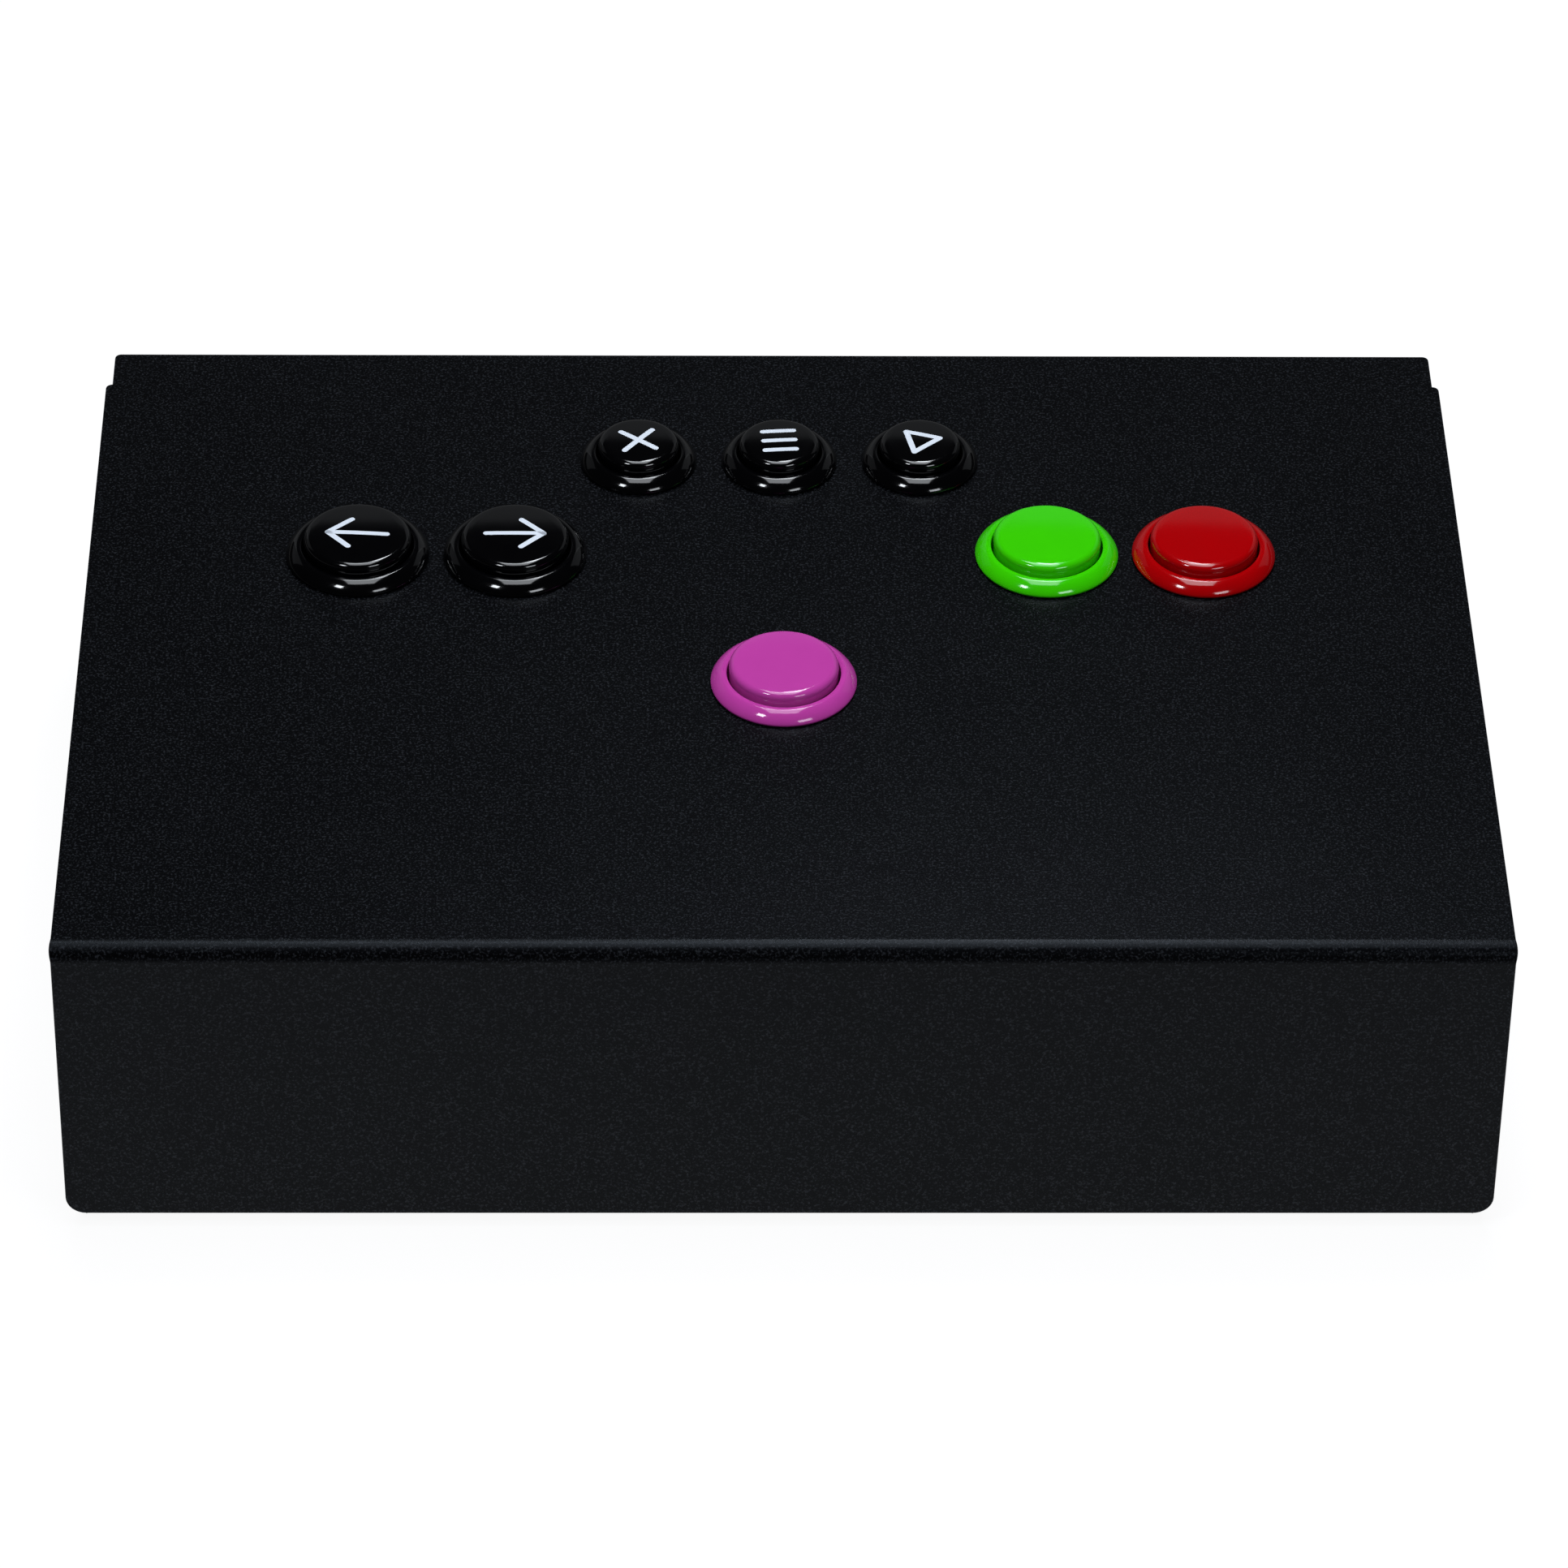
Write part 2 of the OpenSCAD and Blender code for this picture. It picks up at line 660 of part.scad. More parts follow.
// Square panel socket whose mouth is flush with the outside of the rear wall.
module usb_socket() color("#d8d8d8") {
    mouth_w = 8.5;
    mouth_h = 7.8;
    mouth_l = 10;
    tongue_w = 5.6;
    tongue_h = 3.1;
    tongue_l = 8;
    difference() {
        union() {
            translate([socket_x - socket_w / 2, socket_in_y, socket_z - socket_h / 2])
                cube([socket_w, rear_y - socket_in_y, socket_h]);
            translate([socket_x - socket_flange_w / 2, rear_y - sheet_t - socket_flange_t, socket_z - socket_h / 2])
                cube([socket_flange_w, socket_flange_t, socket_h]);
        }
        translate([socket_x - mouth_w / 2, rear_y - mouth_l, socket_z - mouth_h / 2])
            cube([mouth_w, mouth_l + 1, mouth_h]);
        translate([0, rear_y - sheet_t + 1, 0]) at_socket_screws()
            cylinder(r = socket_screw_r + thread_fit, h = socket_flange_t + 2);
    }
    translate([socket_x - tongue_w / 2, rear_y - mouth_l - 0.5, socket_z - tongue_h / 2])
        cube([tongue_w, tongue_l + 0.5, tongue_h]);
}

module usb_socket_screws() color("silver") {
    translate([0, rear_y, 0]) at_socket_screws() difference() {
        union() {
            cylinder(r = socket_screw_r, h = sheet_t + socket_flange_t + 2);
            countersink(0);
        }
        translate([0, 0, -1]) cylinder(r = 0.9, h = 1.8, $fn = 6);
    }
}

// The moulded plug in the board's jack and the lead from it to the back of the rear socket.
module usb_lead() color("#202124") {
    plug_x = board_w / 2;
    neck_x = plug_x + plug_l;
    level = board_top + plug_h / 2;
    route = [
        [neck_x - eps, board_mid_y, level],
        [socket_x, board_mid_y, level],
        [socket_x, socket_in_y - 6, socket_z],
        [socket_x, socket_in_y, socket_z]
    ];
    translate([plug_x, board_mid_y - plug_w / 2, level - plug_h / 2]) cube([plug_l, plug_w, plug_h]);
    tube(eased(route, lead_bend), lead_r, n = 12);
}

// One wire from each signal connector to its pole of the terminal block.
module signal_wires() color("#c8352b") {
    start_z = top_z + sleeve_low;
    for (b = each_button) {
        x = button_x(b) + terminal_x;
        y = button_y(b);
        level = start_z - wire_drop[b];
        px = pole_x(pole_of[b]);
        route = [
            [x, y, start_z],
            [x, y, level],
            [px, y, level],
            [px, board_front - entry_lead, level],
            [px, board_front - entry_lead, entry_z],
            [px, board_front + entry_l - 0.5, entry_z]
        ];
        tube(eased(route, wire_bend), wire_r);
    }
}

// The shared ground: from the terminal block to the front button, then from button to button.
module ground_wires() color("#1d1e20") {
    start_z = top_z + sleeve_low;
    level = start_z - ground_drop;
    // The run home passes under the lowest of the signal wires.
    home_z = start_z - max(wire_drop) - ground_under;
    first = ground_order[0];
    home_x = pole_x(ground_pole);
    home = [
        [home_x, board_front + entry_l - 0.5, entry_z],
        [home_x, board_front - entry_lead, entry_z],
        [home_x, board_front - 2 * entry_lead, home_z],
        [home_x, button_y(first) - ground_aside, home_z],
        [button_x(first) - terminal_x - wire_pair, button_y(first) - ground_aside, home_z],
        [button_x(first) - terminal_x - wire_pair, button_y(first), level],
        [button_x(first) - terminal_x - wire_pair, button_y(first), start_z]
    ];
    tube(eased(home, wire_bend), wire_r);
    for (i = [0:len(ground_order) - 2]) {
        a = ground_order[i];
        c = ground_order[i + 1];
        out = [button_x(a) - terminal_x + wire_pair, button_y(a), start_z];
        back = [button_x(c) - terminal_x - wire_pair, button_y(c), start_z];
        drop = [0, 0, -ground_drop];
        aside = [0, -ground_aside, 0];
        route = [out, out + drop, out + drop + aside, back + drop + aside, back + drop, back];
        tube(eased(route, wire_bend), wire_r);
    }
}

// ---- Parts ----

cover();
cover_studs();
stud_nuts();
wall_frame();
bottom_plate();
clinch_nuts();
bottom_screws();
rubber_feet();
encoder_board();
encoder_chip();
terminal_block();
board_standoffs();
board_screws();
usb_socket();
usb_socket_screws();
usb_lead();
signal_wires();
ground_wires();
switch_terminals();
spade_connectors();
for (b = each_button) {
    color(BUTTONS[b][4]) at_button(b) housing(b);
    color(BUTTONS[b][4]) at_button(b) plunger(b);
    color("silver") at_button(b) spring();
    color("#2a2a2c") at_button(b) microswitch();
    color("#c23b22") at_button(b) actuator();
}
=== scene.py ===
from math import atan2, cos, pi, radians, sin, tau

import bmesh
import bpy
from mathutils import Matrix, Vector


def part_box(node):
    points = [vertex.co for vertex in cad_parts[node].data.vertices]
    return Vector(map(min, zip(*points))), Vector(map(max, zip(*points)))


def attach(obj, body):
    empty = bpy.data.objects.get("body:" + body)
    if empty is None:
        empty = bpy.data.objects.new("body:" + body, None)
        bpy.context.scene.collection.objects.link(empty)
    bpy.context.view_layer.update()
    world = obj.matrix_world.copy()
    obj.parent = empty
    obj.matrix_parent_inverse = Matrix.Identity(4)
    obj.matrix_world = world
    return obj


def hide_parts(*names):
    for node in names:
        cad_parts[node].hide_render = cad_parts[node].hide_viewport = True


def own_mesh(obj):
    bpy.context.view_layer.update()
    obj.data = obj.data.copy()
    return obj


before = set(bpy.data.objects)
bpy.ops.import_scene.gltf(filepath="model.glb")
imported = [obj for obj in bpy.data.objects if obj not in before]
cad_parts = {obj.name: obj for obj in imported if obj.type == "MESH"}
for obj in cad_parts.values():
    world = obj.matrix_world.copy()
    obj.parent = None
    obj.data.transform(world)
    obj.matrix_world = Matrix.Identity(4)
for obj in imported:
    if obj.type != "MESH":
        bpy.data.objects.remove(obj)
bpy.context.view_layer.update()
mm = 0.001

# ---- Camera ----
# A long lens on a tripod in front of the panel, looking down on it.
# It is aimed at a point on the panel's upper surface, a little behind its front edge.
def corners(node):
    """A CAD node's lowest and highest corners at rest."""
    return [Vector(corner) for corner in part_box(node)]


cover_low, cover_high = corners("cover")
front_y = cover_low.y
rear_y = cover_high.y
top_z = cover_high.z
view_turn = radians(-1.272)
view_rise = radians(38.582)
view_roll = radians(0.855)
view_distance = 1659.5 * mm
aim_aside = 0.6 * mm
aim_behind = 58 * mm
aim = Vector((aim_aside, front_y + aim_behind, top_z))

view_back = Vector((sin(view_turn) * cos(view_rise), -cos(view_turn) * cos(view_rise), sin(view_rise)))
level_right = Vector((cos(view_turn), sin(view_turn), 0))
level_up = view_back.cross(level_right)
view_right = level_right * cos(view_roll) + level_up * sin(view_roll)
view_up = level_up * cos(view_roll) - level_right * sin(view_roll)
camera_data = bpy.data.cameras.new("camera")
camera_data.lens = 170.1
camera_data.sensor_width = 36
camera_data.clip_end = 20
camera = bpy.data.objects.new("camera", camera_data)
camera.matrix_world = Matrix.Translation(aim + view_back * view_distance) @ Matrix(
    (view_right, view_up, view_back)
).transposed().to_4x4()
bpy.context.collection.objects.link(camera)
bpy.context.scene.camera = camera
bpy.context.scene.view_settings.view_transform = "Standard"


# ---- Floor ----
# A light table: one sheet of cast opal acrylic, lit from below round the panel and dimmer towards its
# edges. Opal acrylic scatters what comes through it, so it is an even white with hardly any gloss.
def srgb(code):
    """A colour from its sRGB hex code, made linear."""
    parts = [int(code[i : i + 2], 16) / 255 for i in (1, 3, 5)]
    return (*(c / 12.92 if c <= 0.04045 else ((c + 0.055) / 1.055) ** 2.4 for c in parts), 1)


def add(tree, kind, inputs=None, **settings):
    """Adds one shader node with its settings; an input is a value or the socket that feeds it."""
    made = tree.nodes.new(kind)
    for name, value in settings.items():
        setattr(made, name, value)
    for name, value in (inputs or {}).items():
        if isinstance(value, bpy.types.NodeSocket):
            tree.links.new(value, made.inputs[name])
        else:
            made.inputs[name].default_value = value
    return made


def new_material(name, **sockets):
    """A material with one Principled shader, and that shader and its tree."""
    material = bpy.data.materials.new(name)
    material.use_nodes = True
    tree = material.node_tree
    shader = tree.nodes["Principled BSDF"]
    for socket, value in sockets.items():
        shader.inputs[socket.replace("_", " ")].default_value = value
    return material, tree, shader


def place_object(bm, name, material):
    """Turns a bmesh into an object at the origin with one material."""
    mesh = bpy.data.meshes.new(name)
    bm.to_mesh(mesh)
    bm.free()
    mesh.materials.append(material)
    made = bpy.data.objects.new(name, mesh)
    bpy.context.collection.objects.link(made)
    return made


table_size = 8
lit_centre = (0, 0.1, 0)
lit_radius = 0.4
dim_radius = 0.6
front_lit_y = -0.24
front_dim_y = -0.31
lit_glow = 0.92
dim_glow = 0.15
haze_size = 40 * mm
opal, opal_tree, opal_shader = new_material("cast_opal_acrylic", Roughness=0.6, Specular_IOR_Level=0.1)
opal_shader.inputs["Emission Color"].default_value = srgb("#ffffff")
opal_place = add(opal_tree, "ShaderNodeTexCoord").outputs["Object"]
from_centre = add(opal_tree, "ShaderNodeVectorMath", {0: opal_place, 1: lit_centre}, operation="DISTANCE")
around = add(
    opal_tree,
    "ShaderNodeMapRange",
    {"Value": from_centre.outputs["Value"], "From Min": dim_radius, "From Max": lit_radius},
    interpolation_type="SMOOTHSTEP",
)
opal_axes = add(opal_tree, "ShaderNodeSeparateXYZ", {"Vector": opal_place})
in_front = add(
    opal_tree,
    "ShaderNodeMapRange",
    {"Value": opal_axes.outputs["Y"], "From Min": front_dim_y, "From Max": front_lit_y},
    interpolation_type="SMOOTHSTEP",
)
lit = add(
    opal_tree,
    "ShaderNodeMath",
    {0: around.outputs["Result"], 1: in_front.outputs["Result"]},
    operation="MULTIPLY",
)
glow = add(
    opal_tree,
    "ShaderNodeMapRange",
    {"Value": lit.outputs["Value"], "To Min": dim_glow, "To Max": lit_glow},
)
haze = add(opal_tree, "ShaderNodeTexNoise", {"Vector": opal_place, "Scale": 1 / haze_size, "Detail": 2})
milk = add(
    opal_tree,
    "ShaderNodeMix",
    {"Factor": haze.outputs["Fac"], "A": srgb("#626264"), "B": srgb("#666668")},
    data_type="RGBA",
)
opal_tree.links.new(milk.outputs["Result"], opal_shader.inputs["Base Color"])
opal_tree.links.new(glow.outputs["Result"], opal_shader.inputs["Emission Strength"])
bm = bmesh.new()
bmesh.ops.create_grid(bm, x_segments=1, y_segments=1, size=table_size / 2)
floor = place_object(bm, "floor", opal)


# ---- Lights ----
# Soft boxes round the table: a small box and a strip high up behind, a scrim overhead, a box at each
# side in front, and three dim reflectors low down behind and at the sides.
# The studio round them is nearly black above the table's level and pale below it.
lamp_colour = "#f4f9ff"


def soft_box(name, rise, turn, distance, width, height, radiance):
    """An area light that faces the panel: degrees up, degrees round from the front to the right, metres."""
    data = bpy.data.lights.new(name, "AREA")
    data.shape = "RECTANGLE"
    data.size = width
    data.size_y = height
    data.color = srgb(lamp_colour)[:3]
    data.energy = radiance * width * height * pi
    lamp = bpy.data.objects.new(name, data)
    rise, turn = radians(rise), radians(turn)
    where = Vector((sin(turn) * cos(rise), -cos(turn) * cos(rise), sin(rise)))
    lamp.location = Vector((0, 0, top_z)) + where * distance
    lamp.rotation_euler = where.to_track_quat("Z", "Y").to_euler()
    bpy.context.collection.objects.link(lamp)


soft_box("overhead_box", 62, 168, 1.1, 0.17, 0.24, 25)
soft_box("overhead_strip", 80, 180, 1.2, 0.6, 0.12, 12)
soft_box("ceiling_scrim", 88, 0, 1.2, 0.66, 0.9, 4.4)
soft_box("front_left_box", 47, -41, 1.3, 0.2, 0.2, 26)
soft_box("front_right_box", 28, 32, 1.3, 0.42, 0.26, 8)
soft_box("back_reflector", 18, 180, 1.4, 2.0, 0.8, 0.17)
soft_box("right_reflector", 22, 130, 1.4, 0.7, 0.6, 0.16)
soft_box("left_reflector", 22, -130, 1.4, 0.7, 0.6, 0.1)
glow_below = 0.3
glow_above = 0.01
studio = bpy.data.worlds.new("studio")
studio.use_nodes = True
studio_tree = studio.node_tree
upwards = add(
    studio_tree,
    "ShaderNodeSeparateXYZ",
    {"Vector": add(studio_tree, "ShaderNodeTexCoord").outputs["Generated"]},
)
dusk = add(
    studio_tree,
    "ShaderNodeMapRange",
    {
        "Value": upwards.outputs["Z"],
        "From Min": -0.05,
        "From Max": 0.02,
        "To Min": glow_below,
        "To Max": glow_above,
    },
)
studio_tree.links.new(dusk.outputs["Result"], studio_tree.nodes["Background"].inputs["Color"])
bpy.context.scene.world = studio

# ---- Cover ----
# One sheet of 1.5 mm steel, laser cut and folded once along the front, with the buttons' holes in its top.
# Its coat is a fine-texture matt black polyester powder, baked on: grainy, slightly soft at the cut edges.
sheet = 1.5 * mm
fold_r = 4 * mm
fold_steps = 12
fold_bulge = 0.3 * mm
tongue_depth = 12.5 * mm
tongue_step = 1.5 * mm
shoulder_r = 1.5 * mm
tongue_r = 1.5 * mm
flange_r = 4.5 * mm
edge_soft = 0.3 * mm
hole_inset = 1.7 * mm
cut_depth = 4 * sheet
notch_w = 4 * mm
notch_d = 20 * mm
notch_h = 8 * mm
cut_reach = 2 * mm
cut_through = 6 * mm
arc_steps = 8
coat_grain = 0.53 * mm
coat_cloud = 30 * mm
coat_relief = 0.05 * mm
button_names = ["exit", "menu", "play", "left", "right", "green", "red", "magenta"]
button_place = {}
button_rim = {}
for name in button_names:
    low, high = corners(name + "_housing")
    button_place[name] = Vector(((low.x + high.x) / 2, (low.y + high.y) / 2, top_z))
    button_rim[name] = (high.x - low.x) / 2


# The real pimples are about 0.2 mm across. They are drawn at coat_grain, coarser, so that they show.
def powder_coat(name, dark, light):
    """Textured powder coat: near-black with faint paler flecks and a broad dull sheen, nothing mirrored."""
    material, tree, shader = new_material(name, IOR=1.5, Specular_IOR_Level=0.07)
    shader.inputs["Specular Tint"].default_value = srgb("#e4f1ff")
    place = add(tree, "ShaderNodeTexCoord").outputs["Object"]
    pimple = add(tree, "ShaderNodeTexNoise", {"Vector": place, "Scale": 1 / coat_grain, "Detail": 2})
    cloud = add(tree, "ShaderNodeTexNoise", {"Vector": place, "Scale": 1 / coat_cloud, "Detail": 2})
    fleck = add(
        tree,
        "ShaderNodeMapRange",
        {"Value": pimple.outputs["Fac"], "From Min": 0.52, "From Max": 0.74},
    )
    tone = add(
        tree,
        "ShaderNodeMix",
        {"Factor": fleck.outputs["Result"], "A": srgb(dark), "B": srgb(light)},
        data_type="RGBA",
    )
    matt = add(tree, "ShaderNodeMapRange", {"Value": cloud.outputs["Fac"], "To Min": 0.28, "To Max": 0.34})
    relief = add(
        tree,
        "ShaderNodeBump",
        {"Height": pimple.outputs["Fac"], "Strength": 0.6, "Distance": coat_relief},
    )
    tree.links.new(tone.outputs["Result"], shader.inputs["Base Color"])
    tree.links.new(matt.outputs["Result"], shader.inputs["Roughness"])
    tree.links.new(relief.outputs["Normal"], shader.inputs["Normal"])
    return material


def fuse(piece, bm, operation):
    """Joins the closed shape in bm to a piece, or cuts it out of it, for good."""
    tool = place_object(bm, "tool", piece.data.materials[0])
    step = piece.modifiers.new("step", "BOOLEAN")
    step.operation = operation
    step.solver = "EXACT"
    step.object = tool
    graph = bpy.context.evaluated_depsgraph_get()
    result = bpy.data.meshes.new_from_object(piece.evaluated_get(graph))
    piece.modifiers.clear()
    piece.data = result
    bpy.data.objects.remove(tool)


def soften(piece, width, segments=2):
    """Rounds a piece's sharp edges by width and keeps its flat faces flat to the eye."""
    for face in piece.data.polygons:
        face.use_smooth = True
    bevel = piece.modifiers.new("soft_edges", "BEVEL")
    bevel.width = width
    bevel.segments = segments
    bevel.limit_method = "ANGLE"
    bevel.angle_limit = radians(40)
    bevel.harden_normals = True
    even = piece.modifiers.new("even_shading", "WEIGHTED_NORMAL")
    even.keep_sharp = True


def drill(bm, centre, radius, depth, segments=64):
    """Adds an upright round bar to a cutter, with its middle at centre."""
    bmesh.ops.create_cone(
        bm,
        cap_ends=True,
        segments=segments,
        radius1=radius,
        radius2=radius,
        depth=depth,
        matrix=Matrix.Translation(centre),
    )


def new_verts(made):
    """The vertices among what an operator made."""
    return [v for v in made["geom"] if isinstance(v, bmesh.types.BMVert)]


def corner_cutter(bm, corner, along_a, along_b, through, radius):
    """Adds what a rounded corner loses: a block at the corner, less a quarter of a round bar."""
    points = [corner - along_a * mm - along_b * mm, corner + along_a * radius - along_b * mm]
    centre = corner + (along_a + along_b) * radius
    for step in range(arc_steps + 1):
        angle = pi / 2 * step / arc_steps
        points.append(centre - along_b * radius * cos(angle) - along_a * radius * sin(angle))
    points.append(corner - along_a * mm + along_b * radius)
    face = bm.faces.new([bm.verts.new(p) for p in points])
    solid = bmesh.ops.extrude_face_region(bm, geom=[face])
    bmesh.ops.translate(bm, verts=new_verts(solid), vec=through)


coat = powder_coat("fine_texture_powder_coat", "#030304", "#26282c")
bm = bmesh.new()
start = bm.verts.new((cover_low.x, front_y, cover_low.z))
bend_start = bm.verts.new((cover_low.x, front_y, top_z - fold_r))
rear = bm.verts.new((cover_low.x, rear_y, top_z))
bm.edges.new((start, bend_start))
bend = bmesh.ops.spin(
    bm,
    geom=[bend_start],
    cent=(cover_low.x, front_y + fold_r, top_z - fold_r),
    axis=(1, 0, 0),
    dvec=(0, 0, 0),
    angle=-pi / 2,
    steps=fold_steps,
)
bend_end = [v for v in bend["geom_last"] if isinstance(v, bmesh.types.BMVert)][0]
bm.edges.new((bend_end, rear))
across = bmesh.ops.extrude_edge_only(bm, edges=bm.edges[:])
bmesh.ops.translate(bm, verts=new_verts(across), vec=(cover_high.x - cover_low.x, 0, 0))
# Folding squeezes the sheet out a little at both ends of the bend.
for vert in bm.verts:
    into = Vector((vert.co.y - front_y, top_z - vert.co.z)) / fold_r
    if max(into) < 1:
        vert.co.x += (fold_bulge if vert.co.x > 0 else -fold_bulge) * sin(pi * (1 - into.x + into.y) / 2)
bmesh.ops.recalc_face_normals(bm, faces=bm.faces[:])
rear_face = max(bm.faces, key=lambda face: face.calc_center_median().y)
if rear_face.normal.z < 0:
    bmesh.ops.reverse_faces(bm, faces=bm.faces[:])
bmesh.ops.solidify(bm, geom=bm.faces[:], thickness=sheet)
cover = place_object(bm, "folded_cover", coat)

cutter = bmesh.new()
for name in button_names:
    drill(cutter, button_place[name], button_rim[name] - hole_inset, cut_depth)
fuse(cover, cutter, "DIFFERENCE")
cutter = bmesh.new()
for side in (-1, 1):
    middle_x = side * (cover_high.x - tongue_step + notch_w / 2)
    middle = (middle_x, rear_y - tongue_depth + notch_d / 2, top_z)
    notch = Matrix.Translation(middle) @ Matrix.Diagonal((notch_w, notch_d, notch_h, 1))
    bmesh.ops.create_cube(cutter, size=1, matrix=notch)
fuse(cover, cutter, "DIFFERENCE")
cutter = bmesh.new()
above = top_z + cut_reach
downward = Vector((0, 0, -cut_through))
forward = Vector((0, -1, 0))
for side in (-1, 1):
    inward = Vector((-side, 0, 0))
    edge_x = side * cover_high.x
    shoulder = Vector((edge_x, rear_y - tongue_depth, above))
    corner_cutter(cutter, shoulder, inward, forward, downward, shoulder_r)
    tongue_corner = Vector((edge_x - side * tongue_step, rear_y, above))
    corner_cutter(cutter, tongue_corner, inward, forward, downward, tongue_r)
    flange_corner = Vector((edge_x, front_y - cut_reach, cover_low.z))
    corner_cutter(cutter, flange_corner, inward, Vector((0, 0, 1)), Vector((0, cut_through, 0)), flange_r)
bmesh.ops.recalc_face_normals(cutter, faces=cutter.faces[:])
fuse(cover, cutter, "DIFFERENCE")
soften(cover, edge_soft)
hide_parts("cover")
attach(cover, "panel")


# ---- Studs, nuts and standoffs ----
# Turned and pressed steel fixings inside the box: studs welded under the cover, nuts, clinch nuts,
# the board's standoffs and the small screws. All are bright zinc plated: a cool grey metal with a soft
# shine, faintly clouded with blue.
def clouded(name, light, dark, size, rough, spread, **sockets):
    """A solid material whose colour and gloss drift between two values, in clouds of one size."""
    material, tree, shader = new_material(name, **sockets)
    place = add(tree, "ShaderNodeTexCoord").outputs["Object"]
    cloud = add(tree, "ShaderNodeTexNoise", {"Vector": place, "Scale": 1 / size, "Detail": 2})
    tone = add(
        tree,
        "ShaderNodeMix",
        {"Factor": cloud.outputs["Fac"], "A": srgb(light), "B": srgb(dark)},
        data_type="RGBA",
    )
    gloss = add(
        tree,
        "ShaderNodeMapRange",
        {"Value": cloud.outputs["Fac"], "To Min": rough, "To Max": rough + spread},
    )
    tree.links.new(tone.outputs["Result"], shader.inputs["Base Color"])
    tree.links.new(gloss.outputs["Result"], shader.inputs["Roughness"])
    return material


def dress(names, material):
    """Gives CAD nodes a finished material in place of their plain ones."""
    for name in names:
        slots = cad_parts[name].data.materials
        slots.clear()
        slots.append(material)


zinc = clouded("zinc_plated_steel", "#c9ccd2", "#a9afba", 3 * mm, 0.26, 0.16, Metallic=1.0)
dress(["cover_studs", "stud_nuts", "clinch_nuts", "board_standoffs"], zinc)
dress(["board_screws", "usb_socket_screws"], zinc)

# ---- Walls and bottom plate ----
# Folded walls of the same sheet steel under the cover, and a flat plate screwed up against them.
# They are coated with the cover, in the same batch of powder.
dress(["wall_frame"], coat)
plate_low, plate_high = corners("bottom_plate")
screw_low, screw_high = corners("bottom_screws")
head_r = 4 * mm
screw_hole_r = 2.25 * mm
plate_corner = 2 * mm
screw_places = [
    Vector((side * (screw_high.x - head_r), y, plate_low.z))
    for side in (-1, 1)
    for y in (screw_low.y + head_r, (screw_low.y + screw_high.y) / 2, screw_high.y - head_r)
]


def block(bm, low, high, ease=0.0):
    """Adds a block between two corners with its edges eased."""
    low, high = Vector(low), Vector(high)
    shape = Matrix.Translation((low + high) / 2) @ Matrix.Diagonal((*(high - low), 1))
    made = bmesh.ops.create_cube(bm, size=1, matrix=shape)
    if ease:
        edges = {edge for vert in made["verts"] for edge in vert.link_edges}
        bmesh.ops.bevel(
            bm, geom=list(edges), offset=ease, segments=2, profile=0.5, affect="EDGES", material=-1
        )


bm = bmesh.new()
block(bm, plate_low, plate_high)
upright = [edge for edge in bm.edges if abs(edge.verts[0].co.z - edge.verts[1].co.z) > sheet / 2]
bmesh.ops.bevel(bm, geom=upright, offset=plate_corner, segments=6, profile=0.5, affect="EDGES", material=-1)
plate = place_object(bm, "drilled_bottom_plate", coat)
cutter = bmesh.new()
for place in screw_places:
    drill(cutter, place, screw_hole_r, cut_depth, 32)
fuse(plate, cutter, "DIFFERENCE")
soften(plate, edge_soft)
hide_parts("bottom_plate")
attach(plate, "panel")

# ---- Bottom screws ----
# Six M4 pan-head screws with hexagon sockets, cold formed from steel and zinc plated.
head_h = 2.4 * mm
shank_r = 2 * mm
hex_r = 1.4 * mm
hex_bevel = 0.4 * mm
shank_bevel = 0.4 * mm
shank_end = screw_high.z - plate_low.z
head_round = 1.2 * mm


def turn(bm, profile, centre, around=96):
    """Spins an outline of (radius, height) points once round the upright axis through centre."""
    points = [bm.verts.new(centre + Vector((r, 0, z))) for r, z in profile]
    edges = [bm.edges.new(pair) for pair in zip(points, points[1:])]
    bmesh.ops.spin(
        bm,
        geom=points + edges,
        cent=centre,
        axis=(0, 0, 1),
        dvec=(0, 0, 0),
        angle=tau,
        steps=around,
        use_merge=True,
    )
    bmesh.ops.remove_doubles(bm, verts=bm.verts[:], dist=0.002 * mm)


def rounded(centre, radius, first, last, steps=6):
    """Points of an arc in an outline, from one angle to another, in degrees."""
    angles = [radians(first + (last - first) * i / steps) for i in range(steps + 1)]
    return [(centre[0] + radius * cos(a), centre[1] + radius * sin(a)) for a in angles]


def smooth_below(piece, angle):
    """Shades a piece smooth except across edges that turn more than angle."""
    for face in piece.data.polygons:
        face.use_smooth = True
    piece.data.set_sharp_from_angle(angle=radians(angle))


bm = bmesh.new()
for place in screw_places:
    turn(
        bm,
        [(0, shank_end), (shank_r - shank_bevel, shank_end)]
        + [(shank_r, shank_end - shank_bevel), (shank_r, 0), (head_r - 0.1 * mm, 0)]
        + rounded((head_r - head_round, -head_h + head_round), head_round, 0, -75)
        + [(hex_r + hex_bevel, -head_h), (0, -head_h)],
        place,
        48,
    )
bmesh.ops.recalc_face_normals(bm, faces=bm.faces[:])
screws = place_object(bm, "pan_head_screws", zinc)
cutter = bmesh.new()
for place in screw_places:
    drill(cutter, place - Vector((0, 0, head_h)), hex_r, head_h, 6)
fuse(screws, cutter, "DIFFERENCE")
smooth_below(screws, 35)
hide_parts("bottom_screws")
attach(screws, "panel")

